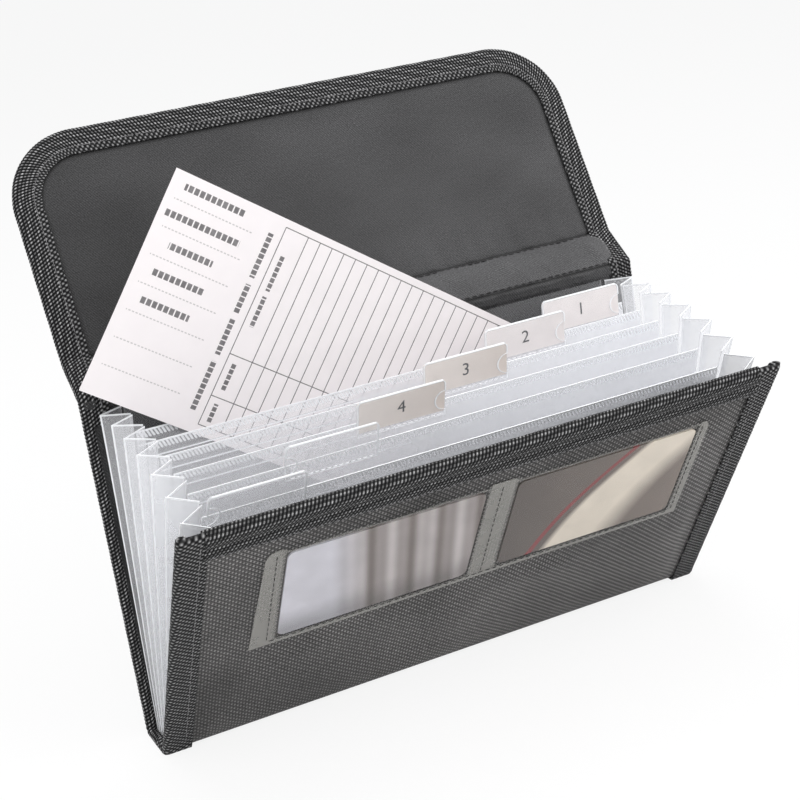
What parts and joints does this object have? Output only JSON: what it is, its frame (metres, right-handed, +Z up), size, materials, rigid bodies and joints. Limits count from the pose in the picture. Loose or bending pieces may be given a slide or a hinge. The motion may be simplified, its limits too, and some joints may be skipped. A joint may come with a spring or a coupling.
{
  "type": "car document organizer",
  "caption": "Fabric wallet for car papers: a bound cover with a fold-over flap and a card window, round a translucent pleated file with tabbed dividers.",
  "frame": {"origin": "centre of the spine's underside, on the surface that the organizer stands on", "axes": "+X to the right seen from the front, along the spine; +Y to the back panel; +Z up"},
  "size_m": [0.269, 0.1766, 0.2469],
  "materials": {
    "cover_fabric": "coarse woven polyester, matt charcoal",
    "lining_fabric": "smooth twill lining, matt charcoal",
    "binding_tape": "ribbed webbing tape, near black",
    "stiffener": "plain board, hidden in the cover",
    "file_plastic": "translucent milky sheet, satin",
    "clear_vinyl": "clear soft vinyl, glossy",
    "card_left": "printed card, pale lavender grey",
    "card_right": "printed card, taupe and dark",
    "label_paper": "printed paper strip, cream to taupe",
    "ruled_paper": "white paper with ruled lines"
  },
  "bodies": {
    "back": {"back_cover": "cover_fabric", "back_board": "stiffener", "back_lining": "lining_fabric", "back_leaf": "file_plastic", "back_binding_left": "binding_tape", "back_binding_right": "binding_tape"},
    "band": {"band_cover": "lining_fabric", "band_seam": "lining_fabric"},
    "flap": {"flap_cover": "cover_fabric", "flap_board": "stiffener", "flap_lining": "lining_fabric", "flap_binding": "binding_tape"},
    "front": {"front_cover": "cover_fabric", "front_board": "stiffener", "front_leaf": "file_plastic", "front_binding_top": "binding_tape", "front_binding_left": "binding_tape", "front_binding_right": "binding_tape", "card_window": "clear_vinyl"},
    "gusset_left_1_rear": {"gusset_left_1_rear": "file_plastic"},
    "gusset_right_1_rear": {"gusset_right_1_rear": "file_plastic"},
    "divider_1": {"divider_1": "file_plastic"},
    "label_1": {"label_1": "label_paper"},
    "gusset_left_1_front": {"gusset_left_1_front": "file_plastic"},
    "gusset_right_1_front": {"gusset_right_1_front": "file_plastic"},
    "gusset_left_2_rear": {"gusset_left_2_rear": "file_plastic"},
    "gusset_right_2_rear": {"gusset_right_2_rear": "file_plastic"},
    "log_sheet": {"log_sheet": "ruled_paper"},
    "divider_2": {"divider_2": "file_plastic"},
    "label_2": {"label_2": "label_paper"},
    "gusset_left_2_front": {"gusset_left_2_front": "file_plastic"},
    "gusset_right_2_front": {"gusset_right_2_front": "file_plastic"},
    "gusset_left_3_rear": {"gusset_left_3_rear": "file_plastic"},
    "gusset_right_3_rear": {"gusset_right_3_rear": "file_plastic"},
    "divider_3": {"divider_3": "file_plastic"},
    "label_3": {"label_3": "label_paper"},
    "gusset_left_3_front": {"gusset_left_3_front": "file_plastic"},
    "gusset_right_3_front": {"gusset_right_3_front": "file_plastic"},
    "gusset_left_4_rear": {"gusset_left_4_rear": "file_plastic"},
    "gusset_right_4_rear": {"gusset_right_4_rear": "file_plastic"},
    "divider_4": {"divider_4": "file_plastic"},
    "label_4": {"label_4": "label_paper"},
    "gusset_left_4_front": {"gusset_left_4_front": "file_plastic"},
    "gusset_right_4_front": {"gusset_right_4_front": "file_plastic"},
    "gusset_left_5_rear": {"gusset_left_5_rear": "file_plastic"},
    "gusset_right_5_rear": {"gusset_right_5_rear": "file_plastic"},
    "divider_5": {"divider_5": "file_plastic"},
    "gusset_left_5_front": {"gusset_left_5_front": "file_plastic"},
    "gusset_right_5_front": {"gusset_right_5_front": "file_plastic"},
    "gusset_left_6_rear": {"gusset_left_6_rear": "file_plastic"},
    "gusset_right_6_rear": {"gusset_right_6_rear": "file_plastic"},
    "divider_6": {"divider_6": "file_plastic"},
    "gusset_left_6_front": {"gusset_left_6_front": "file_plastic"},
    "gusset_right_6_front": {"gusset_right_6_front": "file_plastic"},
    "gusset_left_7_rear": {"gusset_left_7_rear": "file_plastic"},
    "gusset_right_7_rear": {"gusset_right_7_rear": "file_plastic"},
    "card_left": {"card_left": "card_left"},
    "card_right": {"card_right": "card_right"},
    "gusset_left_7_front": {"gusset_left_7_front": "file_plastic"},
    "gusset_right_7_front": {"gusset_right_7_front": "file_plastic"}
  },
  "joints": [
    {"name": "front_fold", "type": "hinge", "parent": "back", "child": "front", "pos_m": [0, -0.00875, 0.0018], "axis": [-1, 0, 0], "range_deg": [0, 38], "deforming": ["log_sheet"]},
    {"name": "band_fold", "type": "hinge", "parent": "back", "child": "band", "pos_m": [0, 0.02095, 0.1488], "axis": [1, 0, 0], "range_deg": [0, 133.52]},
    {"name": "flap_crease", "type": "hinge", "parent": "band", "child": "flap", "pos_m": [0, 0.03713, 0.16055], "axis": [1, 0, 0], "range_deg": [-25, 40]},
    {"name": "divider_1_turn", "type": "hinge", "parent": "back", "child": "divider_1", "pos_m": [0, 0.00625, 0.0018], "axis": [-1, 0, 0], "range_deg": [0, 5.45]},
    {"name": "divider_2_turn", "type": "hinge", "parent": "back", "child": "divider_2", "pos_m": [0, 0.00375, 0.0018], "axis": [-1, 0, 0], "range_deg": [0, 10.88]},
    {"name": "divider_3_turn", "type": "hinge", "parent": "back", "child": "divider_3", "pos_m": [0, 0.00125, 0.0018], "axis": [-1, 0, 0], "range_deg": [0, 16.31]},
    {"name": "divider_4_turn", "type": "hinge", "parent": "back", "child": "divider_4", "pos_m": [0, -0.00125, 0.0018], "axis": [-1, 0, 0], "range_deg": [0, 21.73]},
    {"name": "divider_5_turn", "type": "hinge", "parent": "back", "child": "divider_5", "pos_m": [0, -0.00375, 0.0018], "axis": [-1, 0, 0], "range_deg": [0, 27.16]},
    {"name": "divider_6_turn", "type": "hinge", "parent": "back", "child": "divider_6", "pos_m": [0, -0.00625, 0.0018], "axis": [-1, 0, 0], "range_deg": [0, 32.59]},
    {"name": "gusset_left_1_rear_fold", "type": "hinge", "parent": "back", "child": "gusset_left_1_rear", "pos_m": [-0.12765, 0.00846, 0.00197], "axis": [0.0846, 0.0782, 0.9933], "range_deg": [-30.05, 0]},
    {"name": "gusset_right_1_rear_fold", "type": "hinge", "parent": "back", "child": "gusset_right_1_rear", "pos_m": [0.12765, 0.00846, 0.00197], "axis": [-0.0846, 0.0782, 0.9933], "range_deg": [0, 30.05]},
    {"name": "gusset_left_1_front_fold", "type": "hinge", "parent": "divider_1", "child": "gusset_left_1_front", "pos_m": [-0.12765, 0.00655, 0.00195], "axis": [0.0846, -0.0119, 0.9963], "range_deg": [0, 30.03]},
    {"name": "gusset_right_1_front_fold", "type": "hinge", "parent": "divider_1", "child": "gusset_right_1_front", "pos_m": [0.12765, 0.00655, 0.00195], "axis": [-0.0846, -0.0119, 0.9963], "range_deg": [-30.03, 0]},
    {"name": "gusset_left_2_rear_fold", "type": "hinge", "parent": "divider_1", "child": "gusset_left_2_rear", "pos_m": [-0.12765, 0.00595, 0.00195], "axis": [0.0846, -0.0119, 0.9963], "range_deg": [-30.02, 0]},
    {"name": "gusset_right_2_rear_fold", "type": "hinge", "parent": "divider_1", "child": "gusset_right_2_rear", "pos_m": [0.12765, 0.00595, 0.00195], "axis": [-0.0846, -0.0119, 0.9963], "range_deg": [0, 30.02]},
    {"name": "gusset_left_2_front_fold", "type": "hinge", "parent": "divider_2", "child": "gusset_left_2_front", "pos_m": [-0.12765, 0.00403, 0.00198], "axis": [0.0846, -0.1019, 0.9912], "range_deg": [0, 30.05]},
    {"name": "gusset_right_2_front_fold", "type": "hinge", "parent": "divider_2", "child": "gusset_right_2_front", "pos_m": [0.12765, 0.00403, 0.00198], "axis": [-0.0846, -0.1019, 0.9912], "range_deg": [-30.05, 0]},
    {"name": "gusset_left_3_rear_fold", "type": "hinge", "parent": "divider_2", "child": "gusset_left_3_rear", "pos_m": [-0.12765, 0.00344, 0.00192], "axis": [0.0846, -0.1019, 0.9912], "range_deg": [-29.93, 0]},
    {"name": "gusset_right_3_rear_fold", "type": "hinge", "parent": "divider_2", "child": "gusset_right_3_rear", "pos_m": [0.12765, 0.00344, 0.00192], "axis": [-0.0846, -0.1019, 0.9912], "range_deg": [0, 29.93]},
    {"name": "gusset_left_3_front_fold", "type": "hinge", "parent": "divider_3", "child": "gusset_left_3_front", "pos_m": [-0.12765, 0.00152, 0.002], "axis": [0.0846, -0.1911, 0.9779], "range_deg": [0, 30.02]},
    {"name": "gusset_right_3_front_fold", "type": "hinge", "parent": "divider_3", "child": "gusset_right_3_front", "pos_m": [0.12765, 0.00152, 0.002], "axis": [-0.0846, -0.1911, 0.9779], "range_deg": [-30.02, 0]},
    {"name": "gusset_left_4_rear_fold", "type": "hinge", "parent": "divider_3", "child": "gusset_left_4_rear", "pos_m": [-0.12765, 0.00093, 0.00189], "axis": [0.0846, -0.1911, 0.9779], "range_deg": [-29.8, 0]},
    {"name": "gusset_right_4_rear_fold", "type": "hinge", "parent": "divider_3", "child": "gusset_right_4_rear", "pos_m": [0.12765, 0.00093, 0.00189], "axis": [-0.0846, -0.1911, 0.9779], "range_deg": [0, 29.8]},
    {"name": "gusset_left_4_front_fold", "type": "hinge", "parent": "divider_4", "child": "gusset_left_4_front", "pos_m": [-0.12765, -0.001, 0.00203], "axis": [0.0846, -0.2787, 0.9566], "range_deg": [0, 29.93]},
    {"name": "gusset_right_4_front_fold", "type": "hinge", "parent": "divider_4", "child": "gusset_right_4_front", "pos_m": [0.12765, -0.001, 0.00203], "axis": [-0.0846, -0.2787, 0.9566], "range_deg": [-29.93, 0]},
    {"name": "gusset_left_5_rear_fold", "type": "hinge", "parent": "divider_4", "child": "gusset_left_5_rear", "pos_m": [-0.12765, -0.00158, 0.00186], "axis": [0.0846, -0.2787, 0.9566], "range_deg": [-29.61, 0]},
    {"name": "gusset_right_5_rear_fold", "type": "hinge", "parent": "divider_4", "child": "gusset_right_5_rear", "pos_m": [0.12765, -0.00158, 0.00186], "axis": [-0.0846, -0.2787, 0.9566], "range_deg": [0, 29.61]},
    {"name": "gusset_left_5_front_fold", "type": "hinge", "parent": "divider_5", "child": "gusset_left_5_front", "pos_m": [-0.12765, -0.00353, 0.00205], "axis": [0.0846, -0.364, 0.9275], "range_deg": [0, 29.8]},
    {"name": "gusset_right_5_front_fold", "type": "hinge", "parent": "divider_5", "child": "gusset_right_5_front", "pos_m": [0.12765, -0.00353, 0.00205], "axis": [-0.0846, -0.364, 0.9275], "range_deg": [-29.8, 0]},
    {"name": "gusset_left_6_rear_fold", "type": "hinge", "parent": "divider_5", "child": "gusset_left_6_rear", "pos_m": [-0.12765, -0.00408, 0.00183], "axis": [0.0846, -0.364, 0.9275], "range_deg": [-29.38, 0]},
    {"name": "gusset_right_6_rear_fold", "type": "hinge", "parent": "divider_5", "child": "gusset_right_6_rear", "pos_m": [0.12765, -0.00408, 0.00183], "axis": [-0.0846, -0.364, 0.9275], "range_deg": [0, 29.38]},
    {"name": "gusset_left_6_front_fold", "type": "hinge", "parent": "divider_6", "child": "gusset_left_6_front", "pos_m": [-0.12765, -0.00605, 0.00207], "axis": [0.0846, -0.4464, 0.8908], "range_deg": [0, 29.61]},
    {"name": "gusset_right_6_front_fold", "type": "hinge", "parent": "divider_6", "child": "gusset_right_6_front", "pos_m": [0.12765, -0.00605, 0.00207], "axis": [-0.0846, -0.4464, 0.8908], "range_deg": [-29.61, 0]},
    {"name": "gusset_left_7_rear_fold", "type": "hinge", "parent": "divider_6", "child": "gusset_left_7_rear", "pos_m": [-0.12765, -0.00659, 0.0018], "axis": [0.0846, -0.4464, 0.8908], "range_deg": [-29.1, 0]},
    {"name": "gusset_right_7_rear_fold", "type": "hinge", "parent": "divider_6", "child": "gusset_right_7_rear", "pos_m": [0.12765, -0.00659, 0.0018], "axis": [-0.0846, -0.4464, 0.8908], "range_deg": [0, 29.1]},
    {"name": "gusset_left_7_front_fold", "type": "hinge", "parent": "front", "child": "gusset_left_7_front", "pos_m": [-0.12765, -0.00857, 0.00209], "axis": [0.0846, -0.5251, 0.8468], "range_deg": [0, 29.38]},
    {"name": "gusset_right_7_front_fold", "type": "hinge", "parent": "front", "child": "gusset_right_7_front", "pos_m": [0.12765, -0.00857, 0.00209], "axis": [-0.0846, -0.5251, 0.8468], "range_deg": [-29.38, 0]},
    {"name": "card_left_slide", "type": "slide", "parent": "front", "child": "card_left", "axis": [0, -0.527, 0.8499], "range_m": [0, 0.012]},
    {"name": "card_right_slide", "type": "slide", "parent": "front", "child": "card_right", "axis": [0, -0.527, 0.8499], "range_m": [0, 0.012]},
    {"name": "log_sheet_slide", "type": "slide", "parent": "divider_1", "child": "log_sheet", "axis": [0, 0.012, -0.9999], "range_m": [-0.12, 0]},
    {"name": "label_1_slide", "type": "slide", "parent": "divider_1", "child": "label_1", "axis": [-1, 0, 0], "range_m": [0, 0.038]},
    {"name": "label_2_slide", "type": "slide", "parent": "divider_2", "child": "label_2", "axis": [-1, 0, 0], "range_m": [0, 0.038]},
    {"name": "label_3_slide", "type": "slide", "parent": "divider_3", "child": "label_3", "axis": [-1, 0, 0], "range_m": [0, 0.038]},
    {"name": "label_4_slide", "type": "slide", "parent": "divider_4", "child": "label_4", "axis": [-1, 0, 0], "range_m": [0, 0.038]}
  ],
  "couplings": [
    {"joint": "band_fold", "follows": "front_fold", "ratio": 3.5132},
    {"joint": "divider_1_turn", "follows": "front_fold", "ratio": 0.14286},
    {"joint": "divider_2_turn", "follows": "front_fold", "ratio": 0.28571},
    {"joint": "divider_3_turn", "follows": "front_fold", "ratio": 0.42857},
    {"joint": "divider_4_turn", "follows": "front_fold", "ratio": 0.57143},
    {"joint": "divider_5_turn", "follows": "front_fold", "ratio": 0.71429},
    {"joint": "divider_6_turn", "follows": "front_fold", "ratio": 0.85714},
    {"joint": "gusset_left_1_rear_fold", "follows": "front_fold", "ratio": -0.79025},
    {"joint": "gusset_right_1_rear_fold", "follows": "front_fold", "ratio": 0.79025},
    {"joint": "gusset_left_1_front_fold", "follows": "front_fold", "ratio": 0.78974},
    {"joint": "gusset_right_1_front_fold", "follows": "front_fold", "ratio": -0.78974},
    {"joint": "gusset_left_2_rear_fold", "follows": "front_fold", "ratio": -0.78938},
    {"joint": "gusset_right_2_rear_fold", "follows": "front_fold", "ratio": 0.78938},
    {"joint": "gusset_left_2_front_fold", "follows": "front_fold", "ratio": 0.79025},
    {"joint": "gusset_right_2_front_fold", "follows": "front_fold", "ratio": -0.79025},
    {"joint": "gusset_left_3_rear_fold", "follows": "front_fold", "ratio": -0.78715},
    {"joint": "gusset_right_3_rear_fold", "follows": "front_fold", "ratio": 0.78715},
    {"joint": "gusset_left_3_front_fold", "follows": "front_fold", "ratio": 0.78938},
    {"joint": "gusset_right_3_front_fold", "follows": "front_fold", "ratio": -0.78938},
    {"joint": "gusset_left_4_rear_fold", "follows": "front_fold", "ratio": -0.78357},
    {"joint": "gusset_right_4_rear_fold", "follows": "front_fold", "ratio": 0.78357},
    {"joint": "gusset_left_4_front_fold", "follows": "front_fold", "ratio": 0.78715},
    {"joint": "gusset_right_4_front_fold", "follows": "front_fold", "ratio": -0.78715},
    {"joint": "gusset_left_5_rear_fold", "follows": "front_fold", "ratio": -0.77869},
    {"joint": "gusset_right_5_rear_fold", "follows": "front_fold", "ratio": 0.77869},
    {"joint": "gusset_left_5_front_fold", "follows": "front_fold", "ratio": 0.78357},
    {"joint": "gusset_right_5_front_fold", "follows": "front_fold", "ratio": -0.78357},
    {"joint": "gusset_left_6_rear_fold", "follows": "front_fold", "ratio": -0.77255},
    {"joint": "gusset_right_6_rear_fold", "follows": "front_fold", "ratio": 0.77255},
    {"joint": "gusset_left_6_front_fold", "follows": "front_fold", "ratio": 0.77869},
    {"joint": "gusset_right_6_front_fold", "follows": "front_fold", "ratio": -0.77869},
    {"joint": "gusset_left_7_rear_fold", "follows": "front_fold", "ratio": -0.76521},
    {"joint": "gusset_right_7_rear_fold", "follows": "front_fold", "ratio": 0.76521},
    {"joint": "gusset_left_7_front_fold", "follows": "front_fold", "ratio": 0.77255},
    {"joint": "gusset_right_7_front_fold", "follows": "front_fold", "ratio": -0.77255}
  ]
}
